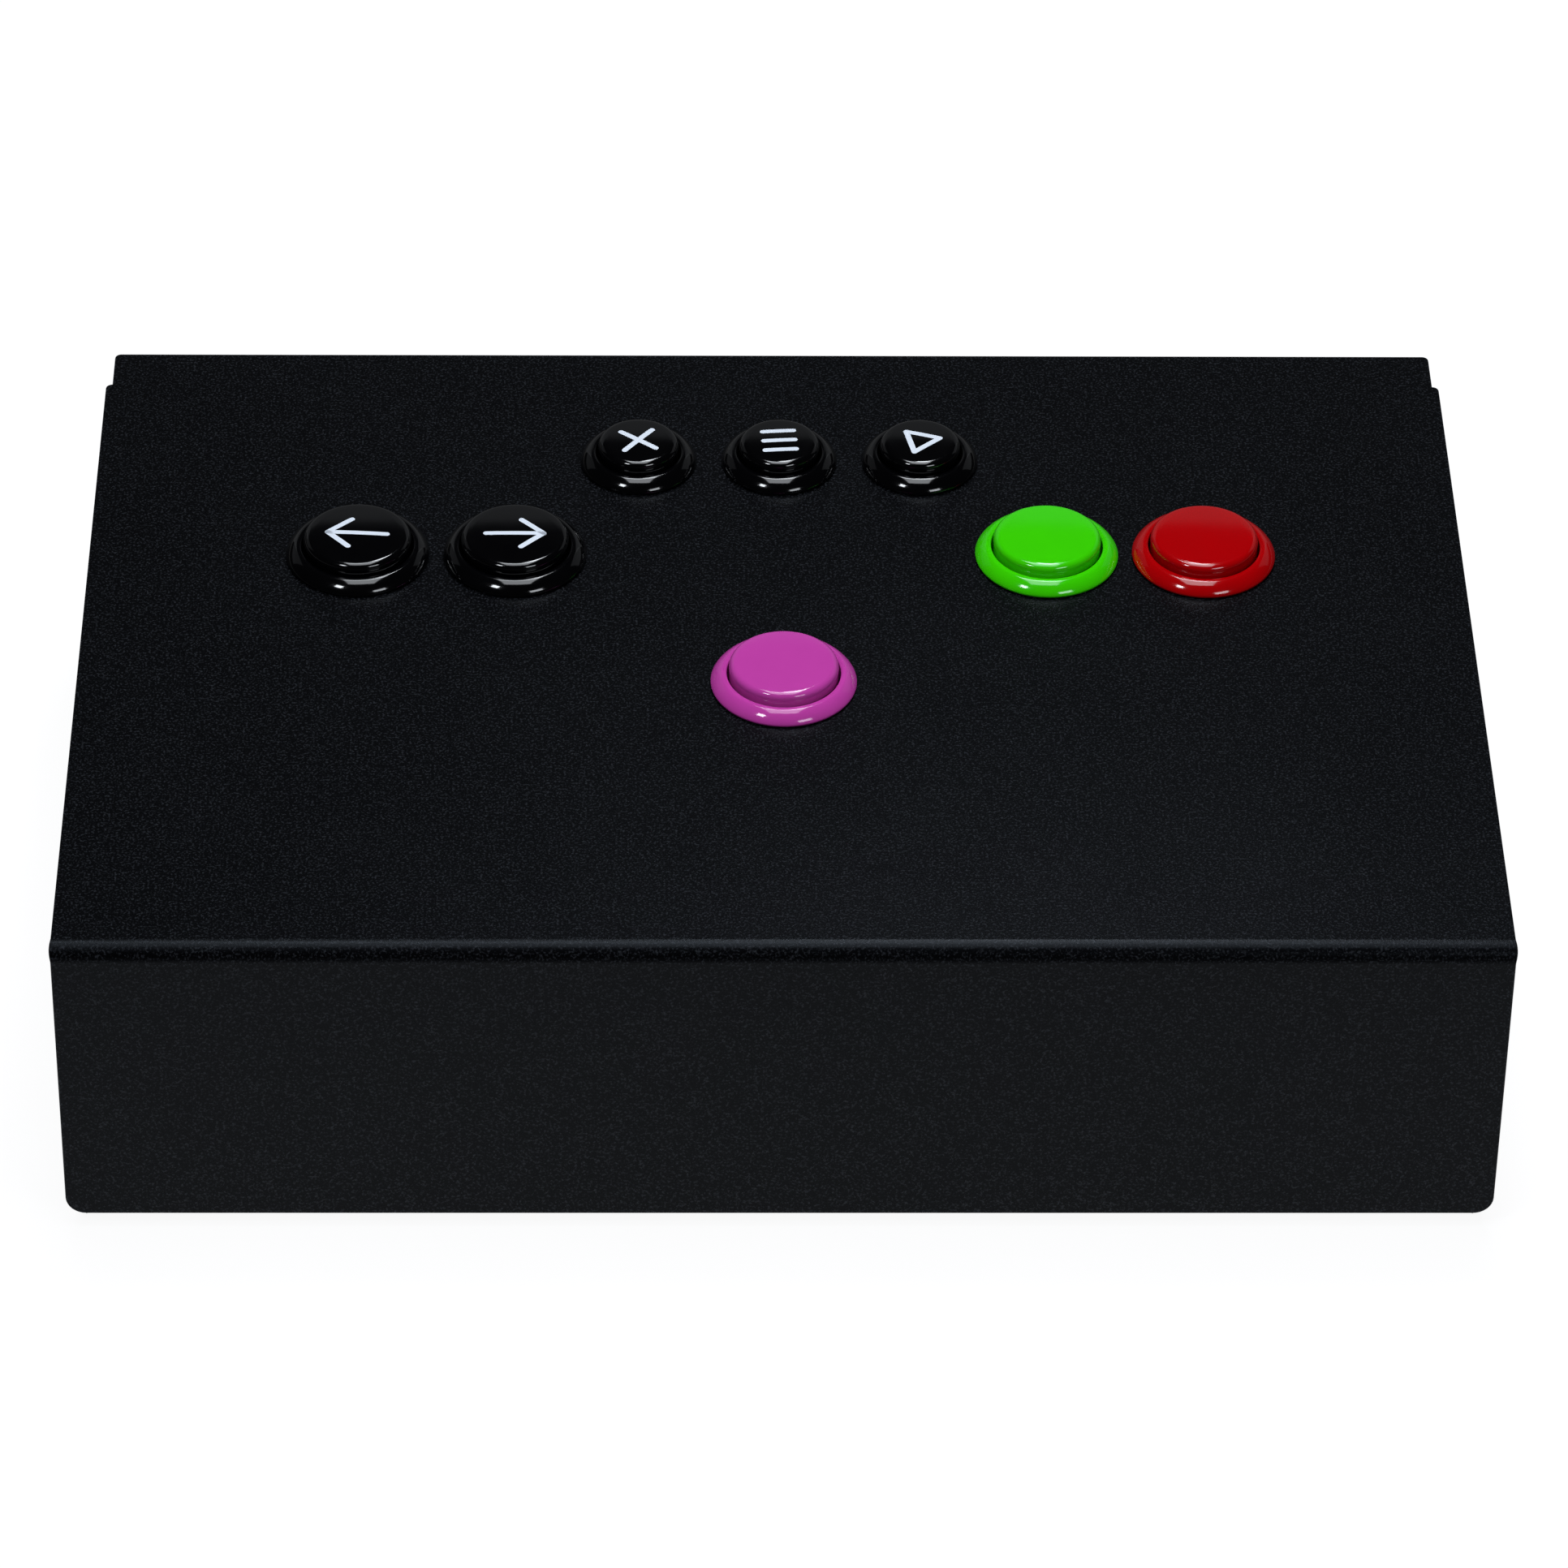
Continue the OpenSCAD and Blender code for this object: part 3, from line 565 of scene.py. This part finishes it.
# ---- Feet ----
# Four stick-on feet, compression moulded in black rubber, with a rounded rim and a shallow dish below.
# Moulded rubber is dull and slightly mottled, a dusty black with no highlights.
rubber = clouded("moulded_black_rubber", "#1a1a1b", "#242425", 0.8 * mm, 0.72, 0.14, IOR=1.52)
feet_low, feet_high = corners("rubber_feet")
foot_r = 9 * mm
foot_top = feet_high.z
foot_bevel = 0.3 * mm
foot_round = 1.4 * mm
foot_draft = 0.5 * mm
dish_r = 3.4 * mm
dish_h = 0.4 * mm
dish_rim_r = 4 * mm
tread_r = 6.6 * mm
bm = bmesh.new()
for foot_x in (feet_low.x + foot_r, feet_high.x - foot_r):
    for foot_y in (feet_low.y + foot_r, feet_high.y - foot_r):
        turn(
            bm,
            [(0, dish_h), (dish_r, dish_h), (dish_rim_r, 0), (tread_r, 0)]
            + rounded((foot_r - foot_draft - foot_round, foot_round), foot_round, -85, -12)
            + [(foot_r, foot_top - foot_bevel), (foot_r - foot_bevel, foot_top), (0, foot_top)],
            Vector((foot_x, foot_y, 0)),
            64,
        )
bmesh.ops.recalc_face_normals(bm, faces=bm.faces[:])
feet = place_object(bm, "moulded_feet", rubber)
smooth_below(feet, 35)
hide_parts("rubber_feet")
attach(feet, "panel")

# ---- Button housings ----
# Snap-in arcade button housings, injection moulded in glossy ABS: a domed bezel that sits on the sheet,
# a barrel through the hole, a guide floor for the stem, and two clips that hold the switch.
# Polished moulds give the plastic an even colour all through and small, sharp, white highlights.
black_abs = clouded("glossy_black_abs", "#010102", "#030304", 6 * mm, 0.07, 0.04, IOR=1.53)
green_abs = clouded("glossy_green_abs", "#3acd04", "#37c703", 6 * mm, 0.08, 0.04, IOR=1.53)
red_abs = clouded("glossy_red_abs", "#a90005", "#a20004", 6 * mm, 0.08, 0.04, IOR=1.53)
magenta_abs = clouded("glossy_magenta_abs", "#be40a0", "#b83c9b", 6 * mm, 0.08, 0.04, IOR=1.53)
button_plastic = {name: black_abs for name in button_names}
button_plastic.update(green=green_abs, red=red_abs, magenta=magenta_abs)
bezel_h = 3.3 * mm
bezel_edge = 0.7 * mm
bezel_land = 1.1 * mm
dome_slope = 1.5
bezel_lip = 0.4 * mm
wall = 1.85 * mm
barrel_l = 20 * mm
barrel_bevel = 0.3 * mm
floor_top = -14.5 * mm
floor_low = -16 * mm
guide_r = 2.4 * mm
lug_half = 3 * mm
lug_l = 8 * mm
lug_proud = 0.6 * mm
lug_gap = 0.15 * mm
sink = 0.5 * mm
clip_half = 4 * mm
clip = 1.5 * mm
clip_lip = 0.6 * mm
switch_low = -31.5 * mm
switch_half = 10 * mm
for name in button_names:
    centre = button_place[name]
    rim = button_rim[name]
    outer = rim - wall
    bore = outer - wall
    dome_w = rim - bore - bezel_land
    dome_h = bezel_h - bezel_edge
    dome = [
        (
            bore + bezel_land + dome_w * cos(angle) ** dome_slope,
            bezel_edge + dome_h * sin(angle) ** dome_slope,
        )
        for angle in (radians(5 * i) for i in range(1, 19))
    ]
    bm = bmesh.new()
    turn(
        bm,
        [(bore, -barrel_l), (bore, 0), (bore, bezel_h - 0.5 * mm)]
        + rounded((bore + bezel_lip, bezel_h - bezel_lip), bezel_lip, 180, 90)
        + dome[::-1]
        + rounded((rim - bezel_edge, bezel_edge), bezel_edge, 0, -90)
        + [(outer, 0), (outer, -barrel_l + 0.4 * mm), (outer - barrel_bevel, -barrel_l)]
        + [(bore, -barrel_l)],
        centre,
    )
    turn(
        bm,
        [(guide_r, floor_low), (guide_r, floor_top), (bore + 0.1 * mm, floor_top)]
        + [(bore + 0.1 * mm, floor_low), (guide_r, floor_low)],
        centre,
    )
    for side in (-1, 1):
        lug = sorted((side * (outer - sink), side * (outer + lug_proud)))
        lug_low = centre + Vector((-lug_half, lug[0], -lug_l))
        block(bm, lug_low, centre + Vector((lug_half, lug[1], -sheet - lug_gap)), 0.2 * mm)
        leg = sorted((side * switch_half, side * (switch_half + clip)))
        leg_low = centre + Vector((leg[0], -clip_half, switch_low - clip))
        block(bm, leg_low, centre + Vector((leg[1], clip_half, floor_low + 0.2 * mm)), 0.15 * mm)
        lip = sorted((side * switch_half, side * (switch_half - clip_lip)))
        lip_low = centre + Vector((lip[0], -clip_half, switch_low - clip))
        block(bm, lip_low, centre + Vector((lip[1], clip_half, switch_low)), 0.1 * mm)
    bmesh.ops.recalc_face_normals(bm, faces=bm.faces[:])
    housing = place_object(bm, name + "_bezel_and_barrel", button_plastic[name])
    smooth_below(housing, 40)
    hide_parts(name + "_housing")
    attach(housing, "panel")

# ---- Plungers ----
# The caps that the fingers press, moulded in the same ABS as their housings: a slightly crowned top,
# a rounded edge, a skirt that slides in the barrel, and a stem with a barb that holds it in.
plunger_fit = 0.5 * mm
plunger_top = 6.4 * mm
plunger_edge = 1.6 * mm
plunger_wall = 1.6 * mm
crown_r = 240 * mm
travel = 3 * mm
barb_r = 3 * mm
barb_top = -16.3 * mm
barb_low = -17.8 * mm
stem_r = 2 * mm
boss_r = 5.25 * mm
seat_z = -4 * mm
cap_t = 2 * mm
crown_steps = 10


def crown(distance, flat_r):
    """Height of a crowned top above its flat edge, at a distance from its middle."""
    return (flat_r**2 - min(distance, flat_r) ** 2) / (2 * crown_r)


plunger_flat = {}
for name in button_names:
    centre = button_place[name]
    radius = button_rim[name] - 2 * wall - plunger_fit
    flat_r = radius - plunger_edge
    plunger_flat[name] = flat_r
    edge_z = plunger_top - crown(0, flat_r)
    skirt_low = floor_top + travel + 0.5 * mm
    inner = radius - plunger_wall
    under = plunger_top - cap_t
    bm = bmesh.new()
    turn(
        bm,
        [
            (flat_r * i / crown_steps, edge_z + crown(flat_r * i / crown_steps, flat_r))
            for i in range(crown_steps)
        ]
        + rounded((flat_r, edge_z - plunger_edge), plunger_edge, 88, 0, 10)
        + [(radius, edge_z - plunger_edge - 0.3 * mm), (radius, skirt_low + 0.3 * mm)]
        + [(radius - 0.3 * mm, skirt_low), (inner, skirt_low), (inner, under - 0.6 * mm)]
        + [(inner - 0.6 * mm, under), (boss_r, under), (boss_r, seat_z)]
        + [(stem_r, seat_z), (stem_r, barb_top), (barb_r, barb_top), (barb_r, barb_top - 0.4 * mm)]
        + [(stem_r, barb_low), (0, barb_low)],
        centre,
    )
    bmesh.ops.recalc_face_normals(bm, faces=bm.faces[:])
    plunger = place_object(bm, name + "_cap", button_plastic[name])
    smooth_below(plunger, 40)
    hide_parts(name + "_plunger")
    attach(plunger, name + "_button")

# ---- Printed symbols ----
# Pad-printed ink on five of the caps: thin strokes with round ends that follow the crowned top.
# The ink is a pale blue-white, a little less glossy than the plastic.
ink = clouded("pad_printed_ink", "#d0d8e3", "#dbe2ec", 0.5 * mm, 0.4, 0.1, IOR=1.45)
stroke_w = 1.35 * mm
ink_proud = 0.03 * mm
ink_sunk = 0.1 * mm
grid_half = 8


def spoke(angle, radius):
    """A point of a symbol, at an angle in degrees and a radius in millimetres."""
    return (radius * cos(radians(angle)), radius * sin(radians(angle)))


def arrow(half):
    """A shaft between two points half its length from the middle, and two barbs at 45 degrees."""
    tip = (half, 0)
    back = [(half - 5.2, side * 5.2) for side in (-1, 1)]
    return [((-half, 0), tip), (back[0], tip), (back[1], tip)]


cross = [(spoke(a, 5.2), spoke(a + 180, 5.2)) for a in (45, 135)]
bars = [((-3.65, y), (3.65, y)) for y in (-3.7, 0, 3.7)]
triangle = [(spoke(a, 4.8), spoke(a + 120, 4.8)) for a in (0, 120, 240)]
symbols = {
    "exit": (cross, 7),
    "menu": (bars, 4.5),
    "play": (triangle, 12),
    "left": (arrow(6.9), 176.5),
    "right": (arrow(6.7), 0),
}


def stroke(first, last):
    """A flat bar with round ends, standing upright through the print's level."""
    made = bmesh.new()
    a, b = Vector((*first, 0)) * mm, Vector((*last, 0)) * mm
    lean = atan2(b.y - a.y, b.x - a.x)
    outline = []
    for end, turned in ((b, lean - pi / 2), (a, lean + pi / 2)):
        for step in range(arc_steps + 1):
            angle = turned + pi * step / arc_steps
            outline.append(end + Vector((cos(angle), sin(angle), 0)) * stroke_w / 2)
    face = made.faces.new([made.verts.new(p - Vector((0, 0, 0.5 * mm))) for p in outline])
    solid = bmesh.ops.extrude_face_region(made, geom=[face])
    bmesh.ops.translate(made, verts=new_verts(solid), vec=(0, 0, 1 * mm))
    bmesh.ops.recalc_face_normals(made, faces=made.faces[:])
    return made


for name, (strokes, angle) in symbols.items():
    centre = button_place[name]
    flat_r = plunger_flat[name]
    mark = place_object(stroke(*strokes[0]), name + "_symbol", ink)
    for first, last in strokes[1:]:
        fuse(mark, stroke(first, last), "UNION")
    bm = bmesh.new()
    bm.from_mesh(mark.data)
    for axis in (Vector((1, 0, 0)), Vector((0, 1, 0))):
        for step in range(-grid_half, grid_half + 1):
            whole = bm.verts[:] + bm.edges[:] + bm.faces[:]
            bmesh.ops.bisect_plane(bm, geom=whole, plane_co=axis * step * mm, plane_no=axis)
    bmesh.ops.rotate(bm, verts=bm.verts[:], cent=(0, 0, 0), matrix=Matrix.Rotation(radians(angle), 3, "Z"))
    edge_z = plunger_top - crown(0, flat_r)
    for vert in bm.verts:
        level = edge_z + crown(vert.co.xy.length, flat_r)
        vert.co.z = level + (ink_proud if vert.co.z > 0 else -ink_sunk)
        vert.co += centre
    bm.to_mesh(mark.data)
    bm.free()
    smooth_below(mark, 40)
    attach(mark, name + "_button")

# ---- Return springs ----
# Coils of drawn steel wire between each guide floor and its plunger's boss, built at their rest length;
# a real coil is shorter by the travel when the button is down. Drawn wire is bright and smooth, with a
# slightly uneven grey along it.
spring_steel = clouded("drawn_spring_steel", "#c3c5c9", "#a2a5ab", 0.6 * mm, 0.22, 0.14, Metallic=1.0)
wire_r = 0.35 * mm
wire_sides = 10
coil_r = 4.2 * mm
coil_turns = 4
turn_steps = 24
for name in button_names:
    centre = button_place[name]
    wire_place = Matrix.Translation(centre + Vector((coil_r, 0, floor_top + wire_r)))
    upright = Matrix.Rotation(pi / 2, 4, "X")
    bm = bmesh.new()
    wire = bmesh.ops.create_circle(bm, segments=wire_sides, radius=wire_r, matrix=wire_place @ upright)
    rise = seat_z - floor_top - 2 * wire_r
    rings = coil_turns * turn_steps
    bmesh.ops.spin(
        bm,
        geom=wire["verts"] + list({edge for vert in wire["verts"] for edge in vert.link_edges}),
        cent=centre,
        axis=(0, 0, 1),
        dvec=(0, 0, rise / rings),
        angle=tau * coil_turns,
        steps=rings,
    )
    bmesh.ops.holes_fill(bm, edges=[edge for edge in bm.edges if edge.is_boundary])
    bmesh.ops.recalc_face_normals(bm, faces=bm.faces[:])
    spring = place_object(bm, name + "_return_coil", spring_steel)
    smooth_below(spring, 50)
    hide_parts(name + "_spring")
    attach(spring, "panel")
    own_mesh(spring)

# ---- Microswitches ----
# Snap-action switches held under each button. Their cases are moulded in glass-filled nylon, dull dark
# grey with a fine mottle, and the actuators that the stems press in red acetal, which shines like wax.
switch_nylon = clouded("glass_filled_nylon", "#1d1e20", "#2c2d30", 0.5 * mm, 0.5, 0.15, IOR=1.53)
red_acetal = clouded("moulded_red_acetal", "#a8321f", "#962c1b", 2 * mm, 0.3, 0.08, IOR=1.48)
dress([name + "_microswitch" for name in button_names], switch_nylon)
dress([name + "_actuator" for name in button_names], red_acetal)

# ---- Terminals and wiring ----
# Stamped brass blades, warm and slightly dulled. Push-on connectors in dip-moulded red vinyl sleeves,
# with a soft shine. Red signal wires and black ground wires in extruded PVC, which is smooth and satin.
brass = clouded("stamped_brass", "#c9a651", "#b08f42", 1.5 * mm, 0.25, 0.15, Metallic=1.0)
sleeve_vinyl = clouded("dip_moulded_vinyl", "#b3262a", "#9c2024", 2 * mm, 0.35, 0.1, IOR=1.53)
red_pvc = clouded("extruded_red_pvc", "#bd3129", "#a92b24", 3 * mm, 0.38, 0.1, IOR=1.53)
black_pvc = clouded("extruded_black_pvc", "#17181a", "#202124", 3 * mm, 0.38, 0.1, IOR=1.53)
dress(["switch_terminals"], brass)
dress(["spade_connectors"], sleeve_vinyl)
dress(["signal_wires"], red_pvc)
dress(["ground_wires", "usb_lead"], black_pvc)

# ---- Encoder board ----
# A fibreglass board under green solder mask, whose copper tracks show as lighter lines, with a tinned
# jack at its right edge, a black epoxy chip on tinned legs, and a green nylon terminal block.
board_low = corners("encoder_board")[0]
board_t = 1.6 * mm
mask_t = 0.05 * mm
tinned = "#b9bcc0"
masked, mask_tree, mask_shader = new_material("solder_masked_fibreglass", IOR=1.5)
mask_place = add(mask_tree, "ShaderNodeTexCoord").outputs["Object"]
tracks = add(
    mask_tree,
    "ShaderNodeTexBrick",
    {
        "Vector": mask_place,
        "Color1": srgb("#0b4a2a"),
        "Color2": srgb("#0d5230"),
        "Mortar": srgb("#1c7a48"),
        "Scale": 1,
        "Mortar Size": 0.12 * mm,
        "Brick Width": 7 * mm,
        "Row Height": 1.4 * mm,
    },
)
board_height = add(mask_tree, "ShaderNodeSeparateXYZ", {"Vector": mask_place})
on_jack = add(
    mask_tree,
    "ShaderNodeMath",
    {0: board_height.outputs["Z"], 1: board_low.z + board_t + mask_t},
    operation="GREATER_THAN",
)
board_tone = add(
    mask_tree,
    "ShaderNodeMix",
    {"Factor": on_jack.outputs["Value"], "A": tracks.outputs["Color"], "B": srgb(tinned)},
    data_type="RGBA",
)
mask_tree.links.new(board_tone.outputs["Result"], mask_shader.inputs["Base Color"])
mask_tree.links.new(on_jack.outputs["Value"], mask_shader.inputs["Metallic"])
dress(["encoder_board"], masked)

chip_low, chip_high = corners("encoder_chip")
chip_half = 6.02 * mm
epoxy, epoxy_tree, epoxy_shader = new_material("moulded_epoxy_and_tinned_legs", Roughness=0.45, IOR=1.55)
chip_centre = (chip_low + chip_high) / 2
off_centre = add(
    epoxy_tree,
    "ShaderNodeVectorMath",
    {0: add(epoxy_tree, "ShaderNodeTexCoord").outputs["Object"], 1: chip_centre},
    operation="SUBTRACT",
)
spread_out = add(epoxy_tree, "ShaderNodeVectorMath", {0: off_centre.outputs["Vector"]}, operation="ABSOLUTE")
spread_axes = add(epoxy_tree, "ShaderNodeSeparateXYZ", {"Vector": spread_out.outputs["Vector"]})
farthest = add(
    epoxy_tree,
    "ShaderNodeMath",
    {0: spread_axes.outputs["X"], 1: spread_axes.outputs["Y"]},
    operation="MAXIMUM",
)
on_leg = add(
    epoxy_tree,
    "ShaderNodeMath",
    {0: farthest.outputs["Value"], 1: chip_half},
    operation="GREATER_THAN",
)
chip_tone = add(
    epoxy_tree,
    "ShaderNodeMix",
    {"Factor": on_leg.outputs["Value"], "A": srgb("#161617"), "B": srgb(tinned)},
    data_type="RGBA",
)
epoxy_tree.links.new(chip_tone.outputs["Result"], epoxy_shader.inputs["Base Color"])
epoxy_tree.links.new(on_leg.outputs["Value"], epoxy_shader.inputs["Metallic"])
dress(["encoder_chip"], epoxy)
green_nylon = clouded("moulded_green_nylon", "#1f7a3d", "#1a6c35", 2 * mm, 0.4, 0.12, IOR=1.53)
dress(["terminal_block"], green_nylon)

# ---- Rear socket ----
# A square data socket in the rear wall: a folded nickel-plated shell with its flange behind the wall,
# a black nylon tongue, and two gold-plated contacts on each side of the tongue. Nickel plate is a warm,
# bright grey with clear reflections, the gold is brighter still, and the nylon is satin.
socket_low, socket_high = corners("usb_socket")
socket_mid = Vector(((socket_low.x + socket_high.x) / 2, socket_high.y, (socket_low.z + socket_high.z) / 2))
shell_half = 6 * mm
flange_t = 2 * mm
mouth_half = 4.25 * mm
mouth_low = -3.9 * mm
mouth_high = 3.9 * mm
mouth_chamfer = 1.9 * mm
mouth_l = 10 * mm
tongue_half = 2.8 * mm
tongue_half_t = 1.55 * mm
tongue_inset = 2 * mm
contact_x = 1.25 * mm
contact_w = 0.9 * mm
contact_l = 7 * mm
contact_t = 0.2 * mm
nickel = clouded("nickel_plated_steel", "#cfcdc8", "#b9b7b1", 4 * mm, 0.2, 0.12, Metallic=1.0)
tongue_nylon = clouded("moulded_black_nylon", "#121214", "#1b1b1d", 2 * mm, 0.35, 0.12, IOR=1.53)
gold = clouded("gold_plated_contact", "#e0b860", "#d0a850", 1 * mm, 0.15, 0.1, Metallic=1.0)
bm = bmesh.new()
shell_low = Vector((socket_mid.x - shell_half, socket_low.y, socket_low.z))
block(bm, shell_low, Vector((socket_mid.x + shell_half, socket_high.y, socket_high.z)), 0.4 * mm)
shell = place_object(bm, "socket_shell", nickel)
bm = bmesh.new()
flange_low = Vector((socket_low.x, rear_y - sheet - flange_t, socket_low.z))
block(bm, flange_low, Vector((socket_high.x, rear_y - sheet, socket_high.z)), 0.3 * mm)
fuse(shell, bm, "UNION")
cutter = bmesh.new()
mouth = [(-mouth_half, mouth_low), (mouth_half, mouth_low), (mouth_half, mouth_high - mouth_chamfer)]
mouth += [(mouth_half - mouth_chamfer, mouth_high), (mouth_chamfer - mouth_half, mouth_high)]
mouth += [(-mouth_half, mouth_high - mouth_chamfer)]
opening = cutter.faces.new([cutter.verts.new(socket_mid + Vector((x, 1 * mm, z))) for x, z in mouth])
depth = bmesh.ops.extrude_face_region(cutter, geom=[opening])
bmesh.ops.translate(cutter, verts=new_verts(depth), vec=(0, -mouth_l - 1 * mm, 0))
bmesh.ops.recalc_face_normals(cutter, faces=cutter.faces[:])
fuse(shell, cutter, "DIFFERENCE")
smooth_below(shell, 30)
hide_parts("usb_socket")
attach(shell, "panel")
bm = bmesh.new()
tongue_low = socket_mid + Vector((-tongue_half, -mouth_l - 0.5 * mm, -tongue_half_t))
block(bm, tongue_low, socket_mid + Vector((tongue_half, -tongue_inset, tongue_half_t)), 0.3 * mm)
tongue = place_object(bm, "socket_tongue", tongue_nylon)
smooth_below(tongue, 30)
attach(tongue, "panel")
bm = bmesh.new()
for x in (-contact_x, contact_x):
    for face_z in (-1.65 * mm, 1.45 * mm):
        strip_low = socket_mid + Vector((x - contact_w / 2, -mouth_l, face_z))
        block(bm, strip_low, strip_low + Vector((contact_w, contact_l, contact_t)), 0.05 * mm)
contacts = place_object(bm, "socket_contacts", gold)
smooth_below(contacts, 30)
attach(contacts, "panel")
